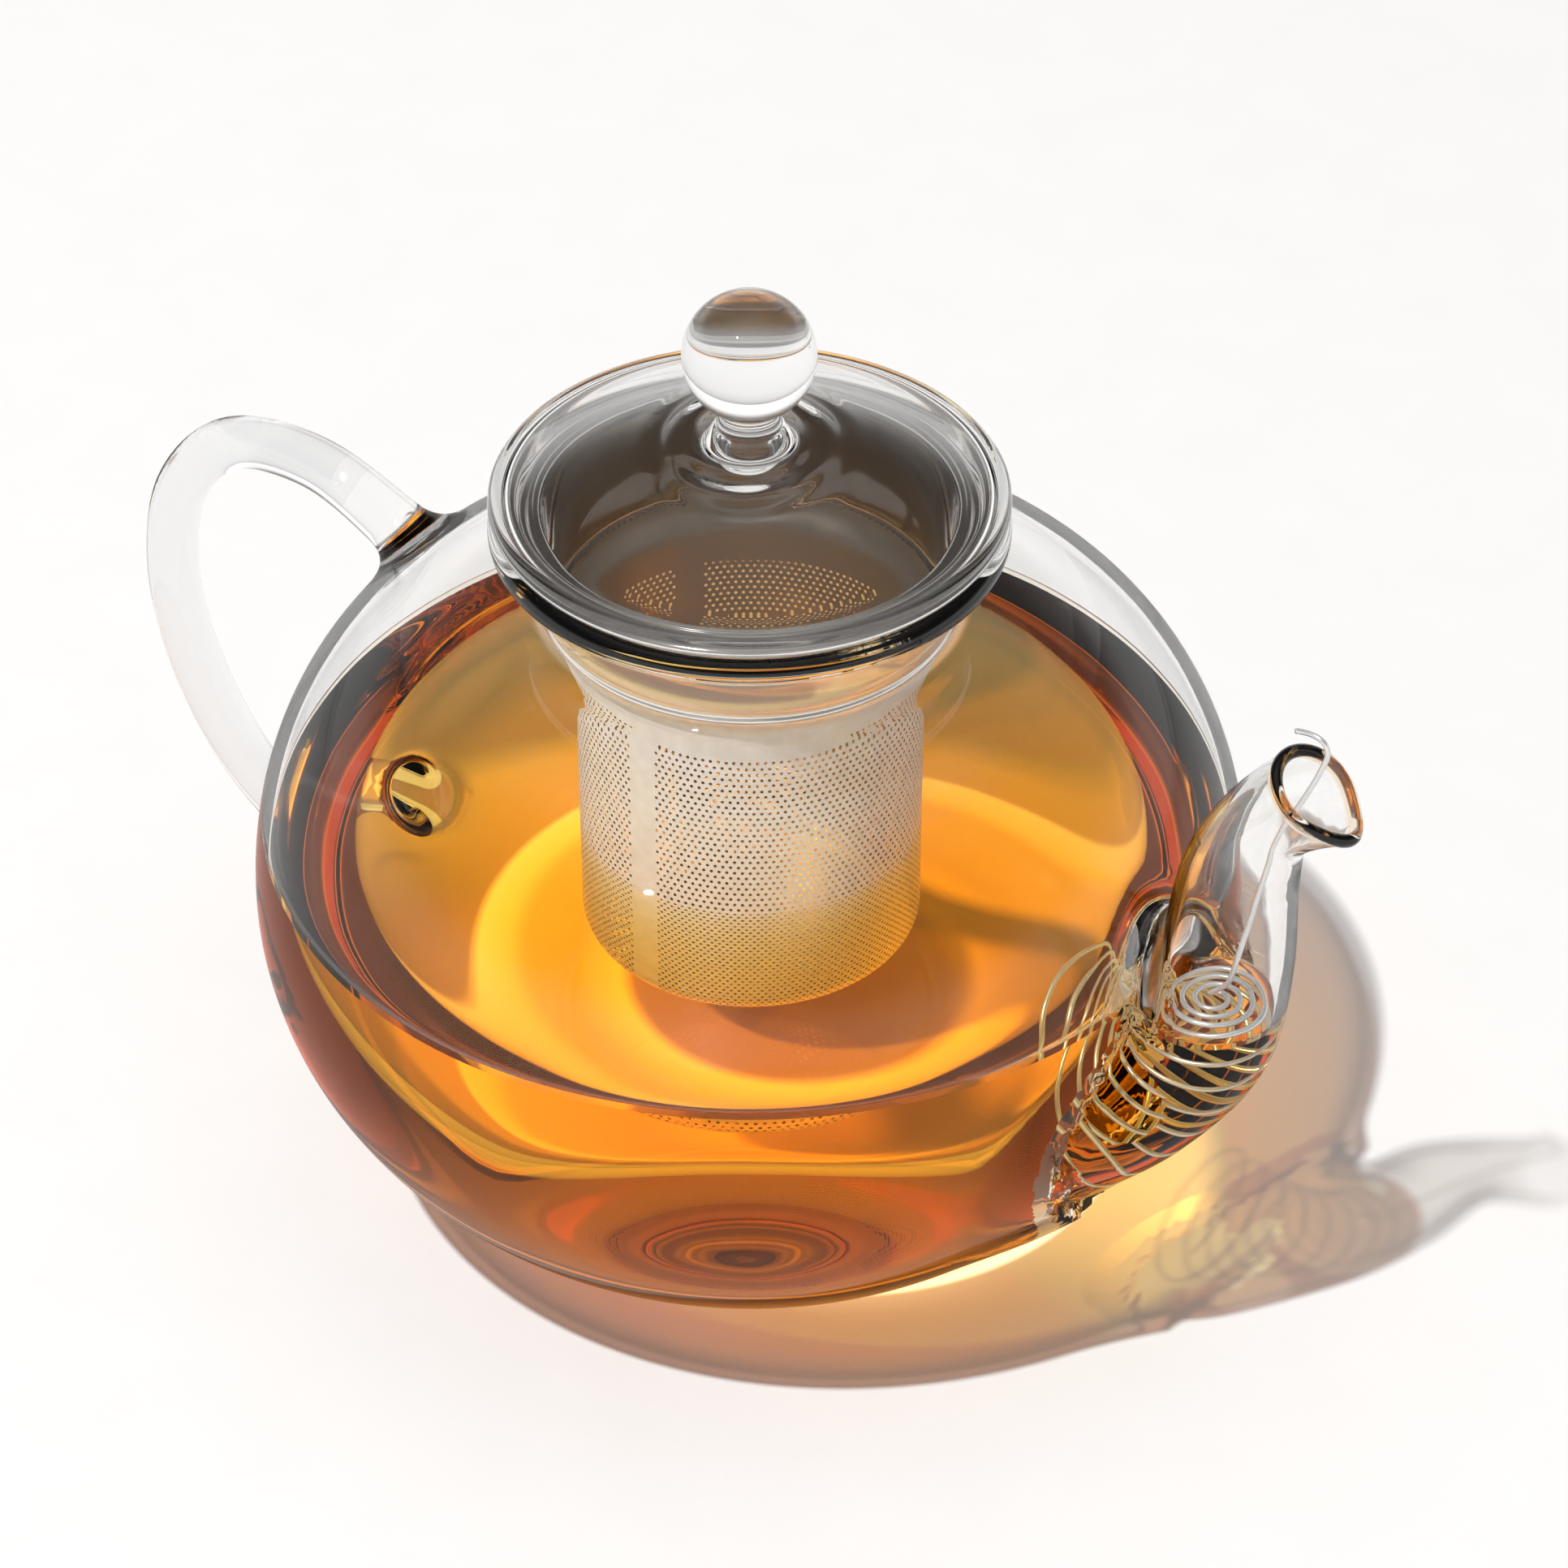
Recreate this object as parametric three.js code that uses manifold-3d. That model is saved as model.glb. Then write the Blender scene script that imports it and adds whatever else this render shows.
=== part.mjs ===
// Glass teapot with a lift-out steel tea infuser and a wire strainer in its spout.
// Millimetres, +Z up. The origin is the centre of the base's underside, on the body's axis.
// The spout points to +X and the handle to -X; the XZ plane is the plane of symmetry.
// Neighbouring pieces that touch or are fused on the real pot keep the gap GAP between them.

import * as THREE from 'three';
import { mergeVertices } from 'three/addons/utils/BufferGeometryUtils.js';
import Module from 'manifold-3d';

const wasm = await Module();
wasm.setup();

// ---- driving dimensions ----
const GAP = 0.3;
const SEGMENTS = 32;            // facets round every turned piece

const BELLY_R = 78.2;           // widest radius of the body
const BELLY_Z = 60;             // height of the widest ring
const BELLY_DROP = 62.8;        // vertical semi-axis of the lower belly
const BASE_R = 25;              // flat disc that the pot stands on
const BASE_ANGLE = 71;          // degrees below the widest ring where the belly meets the base
const NECK_Z = 110.5;           // height where the shoulder turns up into the neck
const NECK_JOIN_R = 34;
const SHOULDER_PULL = [[BELLY_R, 88], [60, 109.5]];   // inner control points of the shoulder
const NECK_PULL = [[30.2, NECK_Z], [32, 117]];        // and of the neck
const NECK_TOP = [37, 124.4];   // where the neck meets the rim's bead
const POT_WALL = 2;
const BOWL_TOP_Z = 30;          // heights at which the blown body is divided into turned bands
const BELLY_TOP_Z = 75;
const RIM_R = 40;               // outer radius of the pot's rim and of the lid
const RIM_BEAD = 2;             // radius of the fire-polished bead on the rim
const RIM_TOP = 128.4;
const RIM_ARC = [-110, 170];    // degrees of the bead that show outside the wall

const FLANGE_BOTTOM = RIM_TOP + GAP;
const FLANGE_SHEET = 0.7;
const FLANGE_R = 37.8;
const LIP_R = 32.6;             // ring radius of the rolled lip inside the flange
const LIP_BEAD = 1;
const LIP_ARC = [12, 330];
const COLLAR_TOP_R = 33.2;
const COLLAR_FOOT_R = 29.2;
const COLLAR_FOOT_Z = 111.2;
const COLLAR_PULL = [[29.6, 115], [31.6, 122]];
const STEEL_SHEET = 0.6;
const DRUM_R = 26.7;
const DRUM_TOP_R = 28.2;
const DRUM_TOP_Z = 112.2;
const DRUM_SHOULDER_Z = 105.5;
const DRUM_FLARE_Z = 108.5;     // middle of the flare
const CUP_TOP_Z = 44;
const CUP_FLOOR_Z = 35;
const CUP_CORNER = 7;

const LID_BEAD = 1.6;
const LID_BEAD_Z = FLANGE_BOTTOM + FLANGE_SHEET + GAP + LID_BEAD;
const LID_WALL = 2;
const DOME_FOOT_R = 37.6;
const DOME_FOOT_Z = 132.4;
const DOME_TOP_Z = 143.4;
const DOME_INSET = 2.4;         // degrees by which the hollow stops short of the bead
const BEAD_ARC = [-180, 90];
const STEM_R = 4.7;
const BALL_R = 10.25;
const BALL_Z = 157.2;
const STUB_END_Z = 134.5;
const STUB_ROUND = 3;           // height of the stub's rounded end
const STUB_TAPER = 0.7;

const SPOUT_WALL = 1.6;
const SPOUT_SIDES = 24;
const SPOUT_STEPS = 14;
const MOUTH_STEPS = 3;          // last steps, over which the rings turn to the mouth's tilt
const BORE_OVERSHOOT = 4;       // how far the bore runs past the mouth
const MOUTH_TILT = 52;          // degrees that the mouth's outward normal rises above level
const LIP_PULL = 2.4;           // how far the pouring lip is drawn out of the round mouth
// Stations of the spout: x and z of its centreline, then its outer radius in the plane of
// symmetry and its outer radius across it. The foot is wider than it is tall.
const SPOUT_STATIONS = [
  [52, 43.5, 23, 27], [66.4, 50, 17.5, 26.5], [75.4, 55.3, 13.6, 23.5], [83, 64.5, 11.5, 15],
  [87.2, 81, 10.4, 10.8], [89.2, 99, 8.9, 8.9], [93.2, 110, 7.2, 7.2], [100.6, 119, 7.4, 7.4],
];

const HANDLE_SIDES = 12;
const HANDLE_STEPS = 26;
const HANDLE_R = 4.3;
const WELD_R = 5.4;             // the rod swells where it is fused to the body
const WELD_LENGTH = 0.12;       // share of the rod's length over which each weld swells
// Centreline of the handle in the plane of symmetry: x, z.
const HANDLE_POINTS = [
  [-58, 92], [-69, 98.2], [-84.5, 103.8], [-101.5, 101], [-112.6, 88.5], [-115.9, 71],
  [-112.1, 53], [-102, 36.5], [-87, 26.6], [-70, 25], [-58, 25.5],
];

const WIRE_R = 0.45;
const WIRE_SIDES = 5;
const WIRE_STEPS = 200;
const TURN_POINTS = 14;         // points of the wire's path in a turn of the coil
const COIL_TURNS = 8;
const COIL_FROM = 0.12;         // shares of the spout's centreline between which the coil winds
const COIL_TO = 0.5;
const COIL_CLEARANCE = 1.2;     // between the wire and the bore
const SPIRAL_TURNS = 3.5;
const SPIRAL_POINTS = 10;
const SPIRAL_END_R = 1.4;
// Stem up the bore, then over the mouth's rim: x, y, z.
const STEM_POINTS = [
  [88, 0.2, 77], [90.2, 0.8, 88], [92.6, 1.8, 100], [95.6, 2.6, 110], [99, 3.4, 118],
  [100.8, 3.9, 123.4], [99.8, 4, 125.4], [97.2, 4, 125.8], [94.9, 4, 125.2],
];

const DEGREE = Math.PI / 180;

// ---- helpers ----
// Merges a geometry's shared vertices and turns its faces outward.
function closed(geometry) {
  const bare = geometry.index ? geometry.clone() : geometry;
  bare.deleteAttribute('normal');
  bare.deleteAttribute('uv');
  const merged = mergeVertices(bare, 1e-4);
  const index = Array.from(merged.index.array);
  const position = merged.attributes.position;
  const corner = (i) => new THREE.Vector3().fromBufferAttribute(position, index[i]);
  const kept = [];
  let volume = 0;
  for (let i = 0; i < index.length; i += 3) {
    const [a, b, c] = [index[i], index[i + 1], index[i + 2]];
    if (a === b || b === c || c === a) continue;
    kept.push(a, b, c);
    volume += corner(i).dot(corner(i + 1).cross(corner(i + 2)));
  }
  merged.setIndex(volume < 0 ? kept.reverse() : kept);
  merged.computeVertexNormals();
  return merged;
}

function toManifold(geometry) {
  const clean = closed(geometry);
  const mesh = new wasm.Mesh({
    numProp: 3,
    vertProperties: new Float32Array(clean.attributes.position.array),
    triVerts: new Uint32Array(clean.index.array),
  });
  return new wasm.Manifold(mesh);
}

function toGeometry(manifold) {
  const mesh = manifold.getMesh();
  const geometry = new THREE.BufferGeometry();
  geometry.setAttribute('position', new THREE.BufferAttribute(new Float32Array(mesh.vertProperties), 3));
  geometry.setIndex(Array.from(mesh.triVerts));
  return closed(geometry);
}

// Turns a profile of [radius, height] points about the Z axis.
function turned(profile) {
  const points = profile.map(([r, z]) => new THREE.Vector2(r, z));
  return closed(new THREE.LatheGeometry(points, SEGMENTS).rotateX(Math.PI / 2));
}

function ellipseArc(centreR, centreZ, semiR, semiZ, fromDegrees, toDegrees, steps) {
  return Array.from({ length: steps + 1 }, (_, i) => {
    const angle = (fromDegrees + (toDegrees - fromDegrees) * i / steps) * DEGREE;
    return [centreR + semiR * Math.cos(angle), centreZ + semiZ * Math.sin(angle)];
  });
}

function bezier(ends, steps) {
  const [a, b, c, d] = ends.map(([r, z]) => new THREE.Vector2(r, z));
  return new THREE.CubicBezierCurve(a, b, c, d).getPoints(steps).map((p) => [p.x, p.y]);
}

// Moves an open profile sideways by distance, to its left as it runs.
function offset(profile, distance) {
  return profile.map(([r, z], i) => {
    const before = profile[Math.max(i - 1, 0)];
    const after = profile[Math.min(i + 1, profile.length - 1)];
    const run = Math.hypot(after[0] - before[0], after[1] - before[1]);
    const left = [-(after[1] - before[1]) / run, (after[0] - before[0]) / run];
    return [Math.max(r + distance * left[0], 0), z + distance * left[1]];
  });
}

// Closes an outer profile with its own inner offset, as a sheet of even thickness.
function sheet(outer, thickness) {
  return [...outer, ...offset(outer, thickness).reverse(), outer[0]];
}

// Skins rings of equal size, with a fan over each end.
function loft(rings) {
  const sides = rings[0].length;
  const positions = rings.flat().flatMap((p) => [p.x, p.y, p.z]);
  const index = [];
  for (let i = 0; i < rings.length - 1; i += 1) {
    for (let j = 0; j < sides; j += 1) {
      const a = i * sides + j;
      const b = i * sides + (j + 1) % sides;
      index.push(a, b, b + sides, a, b + sides, a + sides);
    }
  }
  const last = (rings.length - 1) * sides;
  for (let j = 1; j < sides - 1; j += 1) {
    index.push(0, j + 1, j, last, last + j, last + j + 1);
  }
  const geometry = new THREE.BufferGeometry();
  geometry.setAttribute('position', new THREE.Float32BufferAttribute(positions, 3));
  geometry.setIndex(index);
  return geometry;
}

function material(color, roughness, metalness, opacity = 1) {
  return new THREE.MeshStandardMaterial({ color, roughness, metalness, opacity, transparent: opacity < 1 });
}

function piece(name, geometry, finish) {
  const mesh = new THREE.Mesh(geometry, finish);
  mesh.name = name;
  return mesh;
}

// ---- pot body ----
// One blown vessel, divided into four turned bands that keep the gap between them.
// The belly is half an ellipse below its widest ring and a long curve above it, up to the neck.
function bodyOutline() {
  const belly = ellipseArc(0, BELLY_Z, BELLY_R, BELLY_DROP, -BASE_ANGLE, 0, 8);
  const shoulder = bezier([[BELLY_R, BELLY_Z], ...SHOULDER_PULL, [NECK_JOIN_R, NECK_Z]], 8);
  return [[BASE_R, 0], ...belly, ...shoulder.slice(1)];
}

function neckOutline() {
  return bezier([[NECK_JOIN_R, NECK_Z], ...NECK_PULL, NECK_TOP], 5);
}

function vessel(spoutBore) {
  const outer = [...bodyOutline(), ...neckOutline().slice(1)];
  const bead = ellipseArc(RIM_R - RIM_BEAD, RIM_TOP - RIM_BEAD, RIM_BEAD, RIM_BEAD, ...RIM_ARC, 6);
  const inner = offset(outer, POT_WALL).reverse();
  return toManifold(turned([[0, 0], ...outer, ...bead, ...inner, [0, POT_WALL]])).subtract(spoutBore);
}

// The stretch of the blown body between two heights.
function band(body, from, to) {
  const width = 4 * BELLY_R;
  const slab = new THREE.BoxGeometry(width, width, to - from).translate(0, 0, (from + to) / 2);
  return toGeometry(body.intersect(toManifold(slab)));
}

// The body as one block, grown by the gap, that trims whatever is fused to its outside.
function bodyBlock() {
  const grown = offset(bodyOutline(), -GAP);
  return toManifold(turned([[0, -GAP], ...grown, [0, NECK_Z + GAP]]));
}

// ---- spout ----
// Curves through the stations: the centreline, and the two radii as x and y.
const spoutCurve = new THREE.CatmullRomCurve3(SPOUT_STATIONS.map(([x, z]) => new THREE.Vector3(x, 0, z)));
const spoutRadii = new THREE.CatmullRomCurve3(SPOUT_STATIONS.map(([, , r, w]) => new THREE.Vector3(r, w, 0)));

function spoutTube(wall, overshoot) {
  const rings = [];
  for (let i = 0; i <= SPOUT_STEPS; i += 1) {
    const share = i / SPOUT_STEPS;
    const at = spoutCurve.getPoint(share);
    const along = spoutCurve.getTangent(share);
    const mouthShare = Math.max(0, (i - SPOUT_STEPS + MOUTH_STEPS) / MOUTH_STEPS);
    const rise = Math.atan2(along.z, along.x) * (1 - mouthShare) + MOUTH_TILT * DEGREE * mouthShare;
    const radii = spoutRadii.getPoint(share).subScalar(wall);
    rings.push(spoutRing(at, radii, rise, i === SPOUT_STEPS ? LIP_PULL : 0));
  }
  if (overshoot > 0) {
    const shift = new THREE.Vector3(Math.cos(MOUTH_TILT * DEGREE), 0, Math.sin(MOUTH_TILT * DEGREE));
    rings.push(rings.at(-1).map((p) => p.clone().addScaledVector(shift, overshoot)));
  }
  return loft(rings);
}

// A ring whose plane leans back by rise; radii.x lies in the plane of symmetry, radii.y across it.
function spoutRing(centre, radii, rise, lipPull) {
  const down = new THREE.Vector3(Math.sin(rise), 0, -Math.cos(rise));
  return Array.from({ length: SPOUT_SIDES }, (_, j) => {
    const angle = j / SPOUT_SIDES * 2 * Math.PI;
    const pull = lipPull * Math.max(0, Math.cos(angle)) ** 4;
    return centre.clone()
      .addScaledVector(down, (radii.x + pull) * Math.cos(angle))
      .add(new THREE.Vector3(0, radii.y * Math.sin(angle), 0));
  });
}

function spout(bore, block) {
  return toGeometry(toManifold(spoutTube(0, 0)).subtract(bore).subtract(block));
}

// ---- handle ----
function handle(block) {
  const curve = new THREE.CatmullRomCurve3(HANDLE_POINTS.map(([x, z]) => new THREE.Vector3(x, 0, z)));
  const rings = Array.from({ length: HANDLE_STEPS + 1 }, (_, i) => {
    const share = i / HANDLE_STEPS;
    const at = curve.getPoint(share);
    const along = curve.getTangent(share);
    const across = new THREE.Vector3(-along.z, 0, along.x);
    const toEnd = Math.min(share, 1 - share) / WELD_LENGTH;
    const radius = HANDLE_R + (WELD_R - HANDLE_R) * Math.exp(-toEnd * toEnd);
    return Array.from({ length: HANDLE_SIDES }, (_, j) => {
      const angle = j / HANDLE_SIDES * 2 * Math.PI;
      return at.clone().addScaledVector(across, radius * Math.cos(angle))
        .add(new THREE.Vector3(0, radius * Math.sin(angle), 0));
    });
  });
  return toGeometry(toManifold(loft(rings)).subtract(block));
}

// ---- infuser ----
// A flat ring that rests on the pot's rim, with a rolled lip along its inner edge.
function infuserFlange() {
  const top = FLANGE_BOTTOM + FLANGE_SHEET;
  const lip = ellipseArc(LIP_R, FLANGE_BOTTOM + LIP_BEAD / 2, LIP_BEAD, LIP_BEAD, ...LIP_ARC, 9);
  return turned([[FLANGE_R, FLANGE_BOTTOM], [FLANGE_R, top], ...lip, [FLANGE_R, FLANGE_BOTTOM]]);
}

// A plain funnel that hangs in the pot's neck.
function infuserCollar() {
  const top = FLANGE_BOTTOM - LIP_BEAD / 2 - GAP;
  const outer = bezier([[COLLAR_FOOT_R, COLLAR_FOOT_Z], ...COLLAR_PULL, [COLLAR_TOP_R, top]], 5);
  return turned(sheet(outer, STEEL_SHEET));
}

// The perforated sleeve; its top flares out and tucks into the collar's foot.
function infuserDrum() {
  const flare = bezier([
    [DRUM_R, DRUM_SHOULDER_Z], [DRUM_R, DRUM_FLARE_Z], [DRUM_TOP_R, DRUM_FLARE_Z], [DRUM_TOP_R, DRUM_TOP_Z],
  ], 5);
  return turned(sheet([[DRUM_R, CUP_TOP_Z + GAP], ...flare], STEEL_SHEET));
}

// The cup that closes the sleeve's bottom.
function infuserCup() {
  const corner = ellipseArc(DRUM_R - CUP_CORNER, CUP_FLOOR_Z + CUP_CORNER, CUP_CORNER, CUP_CORNER, -90, 0, 5);
  const outer = [...corner, [DRUM_R, CUP_TOP_Z]];
  const inner = offset(outer, STEEL_SHEET).reverse();
  return turned([[0, CUP_FLOOR_Z], ...outer, ...inner, [0, CUP_FLOOR_Z + STEEL_SHEET]]);
}

// ---- lid ----
// A shallow dome with a solid bead round its edge and a hole for the knob's stem.
function lidDome() {
  const bead = ellipseArc(RIM_R - LID_BEAD, LID_BEAD_Z, LID_BEAD, LID_BEAD, ...BEAD_ARC, 6);
  const rise = DOME_TOP_Z - DOME_FOOT_Z;
  const capR = (DOME_FOOT_R ** 2 + rise ** 2) / (2 * rise);
  const foot = Math.atan2(capR - rise, DOME_FOOT_R) / DEGREE;
  const hole = Math.acos((STEM_R + GAP) / capR) / DEGREE;
  const innerR = capR - LID_WALL;
  const outer = ellipseArc(0, DOME_TOP_Z - capR, capR, capR, foot, hole, 6);
  const inner = ellipseArc(0, DOME_TOP_Z - capR, innerR, innerR, foot + DOME_INSET, hole, 6);
  inner[inner.length - 1][0] = STEM_R + GAP;
  return turned([...bead, ...outer, ...inner.reverse(), bead[0]]);
}

// A solid ball on a stem that runs through the dome and ends in a rounded stub.
function lidKnob() {
  const meet = -Math.acos(STEM_R / BALL_R) / DEGREE;
  const ball = ellipseArc(0, BALL_Z, BALL_R, BALL_R, meet, 90, 11);
  ball[ball.length - 1][0] = 0;
  const stub = ellipseArc(0, STUB_END_Z + STUB_ROUND, STEM_R - STUB_TAPER, STUB_ROUND, -90, 0, 4);
  stub[0][0] = 0;
  return turned([...stub, [STEM_R, DOME_TOP_Z - LID_WALL], ...ball]);
}

// ---- spout strainer ----
// One wire: a conical coil that leans from the body's port into the spout, a flat spiral that
// closes it, and a stem that runs up the bore and hooks over the mouth's rim.
function strainerPath() {
  const coilSteps = COIL_TURNS * TURN_POINTS;
  const points = Array.from({ length: coilSteps + 1 }, (_, i) => coilPoint(i / coilSteps));
  const head = spoutCurve.getPoint(COIL_TO);
  const headR = spoutRadii.getPoint(COIL_TO).x - SPOUT_WALL - COIL_CLEARANCE;
  const last = SPIRAL_TURNS * SPIRAL_POINTS;
  for (let i = 1; i <= last; i += 1) {
    const share = i / last;
    const angle = SPIRAL_TURNS * share * 2 * Math.PI;
    const radius = headR + (SPIRAL_END_R - headR) * share;
    points.push(new THREE.Vector3(head.x + radius * Math.cos(angle), radius * Math.sin(angle), head.z));
  }
  STEM_POINTS.forEach((point) => points.push(new THREE.Vector3(...point)));
  return new THREE.CatmullRomCurve3(points);
}

function coilPoint(share) {
  const along = COIL_FROM + (COIL_TO - COIL_FROM) * share;
  const at = spoutCurve.getPoint(along);
  const tangent = spoutCurve.getTangent(along);
  const lean = Math.atan2(tangent.z, tangent.x);
  const rise = lean + (Math.PI / 2 - lean) * share ** 2;
  const radius = spoutRadii.getPoint(along).x - SPOUT_WALL - COIL_CLEARANCE;
  const angle = COIL_TURNS * share * 2 * Math.PI;
  const down = new THREE.Vector3(Math.sin(rise), 0, -Math.cos(rise));
  return at.clone()
    .addScaledVector(down, radius * Math.cos(angle))
    .add(new THREE.Vector3(0, radius * Math.sin(angle), 0));
}

function spoutStrainer() {
  const section = new THREE.Shape();
  for (let j = 0; j < WIRE_SIDES; j += 1) {
    const angle = j / WIRE_SIDES * 2 * Math.PI;
    const corner = [WIRE_R * Math.cos(angle), WIRE_R * Math.sin(angle)];
    if (j === 0) section.moveTo(...corner);
    else section.lineTo(...corner);
  }
  return closed(new THREE.ExtrudeGeometry(section, { steps: WIRE_STEPS, extrudePath: strainerPath() }));
}

// ---- assembly ----
const glass = () => material(0xeef4f2, 0.02, 0, 0.35);
const steel = () => material(0xb9b6b1, 0.22, 1);

const bore = toManifold(spoutTube(SPOUT_WALL, BORE_OVERSHOOT));
const block = bodyBlock();

const body = vessel(bore);

const pot = new THREE.Group();
pot.add(
  piece('pot_bowl', band(body, -GAP, BOWL_TOP_Z), glass()),
  piece('pot_belly', band(body, BOWL_TOP_Z + GAP, BELLY_TOP_Z), glass()),
  piece('pot_shoulder', band(body, BELLY_TOP_Z + GAP, NECK_Z + GAP), glass()),
  piece('pot_neck', band(body, NECK_Z + 2 * GAP, RIM_TOP + GAP), glass()),
  piece('spout', spout(bore, block), glass()),
  piece('handle', handle(block), glass()),
);

const infuser = new THREE.Group();
infuser.add(
  piece('infuser_flange', infuserFlange(), steel()),
  piece('infuser_collar', infuserCollar(), steel()),
  piece('infuser_drum', infuserDrum(), steel()),
  piece('infuser_cup', infuserCup(), steel()),
);

const lid = new THREE.Group();
lid.add(
  piece('lid_dome', lidDome(), glass()),
  piece('lid_knob', lidKnob(), glass()),
);

const group = new THREE.Group();
group.add(pot, infuser, lid, piece('spout_strainer', spoutStrainer(), steel()));

export default group;
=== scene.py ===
import math

import bmesh
import bpy
import numpy as np
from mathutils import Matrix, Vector


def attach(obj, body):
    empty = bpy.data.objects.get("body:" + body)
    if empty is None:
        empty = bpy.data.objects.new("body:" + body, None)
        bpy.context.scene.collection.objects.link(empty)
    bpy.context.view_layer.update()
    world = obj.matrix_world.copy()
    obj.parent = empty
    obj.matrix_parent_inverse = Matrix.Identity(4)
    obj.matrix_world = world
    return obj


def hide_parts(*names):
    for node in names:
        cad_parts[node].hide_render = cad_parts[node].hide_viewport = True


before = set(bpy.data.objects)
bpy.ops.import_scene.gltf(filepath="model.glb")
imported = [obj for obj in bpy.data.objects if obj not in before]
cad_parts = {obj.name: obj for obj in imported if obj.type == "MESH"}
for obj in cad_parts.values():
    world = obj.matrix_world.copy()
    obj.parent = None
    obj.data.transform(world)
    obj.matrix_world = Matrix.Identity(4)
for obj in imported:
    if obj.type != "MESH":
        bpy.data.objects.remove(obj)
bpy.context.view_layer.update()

# Shapes are in millimetres until mesh_piece() turns them into metres.
# Materials, lights and camera use metres.
MM = 0.001

# ---- the pot's driving sizes ----
BELLY_R, BELLY_Z, BELLY_DROP = 78.2, 60.0, 62.8  # widest ring, and the lower belly's vertical semi-axis
BASE_R, BASE_RISE, BASE_CURVE = 36.7, 4.55, 3.45  # where the base meets the belly, and how sharply it rises
DIMPLE_R, DIMPLE_RISE = 22.0, 0.25  # the base's middle is lifted off the table
NECK_Z, NECK_JOIN_R = 110.5, 34.0
WALL = 2.0
RIM_R, RIM_BEAD, RIM_TOP = 40.0, 2.0, 128.4
BODY_CLEAR_Z = 105  # up to here the body's hollow is kept clear of the spout's and handle's roots
SPOUT_WALL = 1.6
MOUTH_TILT, LIP_PULL = 52.0, 2.4
# Shares of the spout's length: where its rings start to turn and over how much of it they do,
# and the same for the drawn lip.
MOUTH_FROM, MOUTH_SPAN = 0.79, 0.21
LIP_FROM, LIP_SPAN = 0.88, 0.12
ROD_R, WELD_SWELL, WELD_SHARE = 4.3, 0.9, 0.1  # handle rod, and how much and how far it swells at its welds
TEA_Z = 71.5
TEA_CLIMB, TEA_CLIMB_REACH = 1.3, 1.1  # how the tea creeps up the glass
TEA_BITE = 0.5  # how far the tea reaches into the glass, so that no air is left between them
DRUM_R = 26.7
TURNED_SEGMENTS = 192
SUN_FROM = (-0.04, -0.50, 0.864)  # direction of the key light, seen from the pot


# ---- small helpers ----
def bezier(points, steps):
    t = np.linspace(0, 1, steps + 1)[:, None]
    a, b, c, d = np.array(points, float)
    return (1 - t) ** 3 * a + 3 * (1 - t) ** 2 * t * b + 3 * (1 - t) * t * t * c + t**3 * d


def arc(centre, semi, start, end, steps):
    """Points of an ellipse's arc; angles in degrees."""
    angle = np.radians(np.linspace(start, end, steps + 1))
    return np.c_[centre[0] + semi[0] * np.cos(angle), centre[1] + semi[1] * np.sin(angle)]


def resample(points, spacing):
    """The same polyline with even steps."""
    points = np.array(points, float)
    run = np.r_[0, np.cumsum(np.linalg.norm(np.diff(points, axis=0), axis=1))]
    at = np.linspace(0, run[-1], max(int(round(run[-1] / spacing)), 2) + 1)
    return np.c_[tuple(np.interp(at, run, points[:, k]) for k in range(points.shape[1]))]


def softened(points, spacing, width, closed=False):
    """An evenly stepped polyline with its corners rounded over about width. Its ends stay put."""
    fine = resample(points, spacing)
    for _ in range(max(int(2 * (width / spacing) ** 2), 1)):
        if closed:
            ring = fine[:-1]
            ring = 0.5 * ring + 0.25 * (np.roll(ring, 1, 0) + np.roll(ring, -1, 0))
            fine = np.vstack([ring, ring[:1]])
        else:
            fine[1:-1] = 0.5 * fine[1:-1] + 0.25 * (fine[:-2] + fine[2:])
    return fine


def offset(profile, distance):
    """Moves an open profile to the left of its run."""
    run = np.gradient(profile, axis=0)
    run /= np.linalg.norm(run, axis=1, keepdims=True)
    moved = profile + distance * np.c_[-run[:, 1], run[:, 0]]
    moved[:, 0] = np.maximum(moved[:, 0], 0)
    return moved


def spline(points, steps):
    """A smooth curve through the points, by cubic Hermite pieces. Its steps go by the root of each chord."""
    points = np.array(points, float)
    knot = np.r_[0, np.cumsum(np.sqrt(np.linalg.norm(np.diff(points[:, :2], axis=0), axis=1)))]
    slope = np.gradient(points, knot, axis=0)
    at = np.linspace(0, knot[-1], steps + 1)
    i = np.clip(np.searchsorted(knot, at, side="right") - 1, 0, len(knot) - 2)
    h = (knot[i + 1] - knot[i])[:, None]
    t = ((at - knot[i]) / h[:, 0])[:, None]
    return (
        (2 * t**3 - 3 * t**2 + 1) * points[i]
        + (t**3 - 2 * t**2 + t) * h * slope[i]
        + (-2 * t**3 + 3 * t**2) * points[i + 1]
        + (t**3 - t**2) * h * slope[i + 1]
    )


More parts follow.
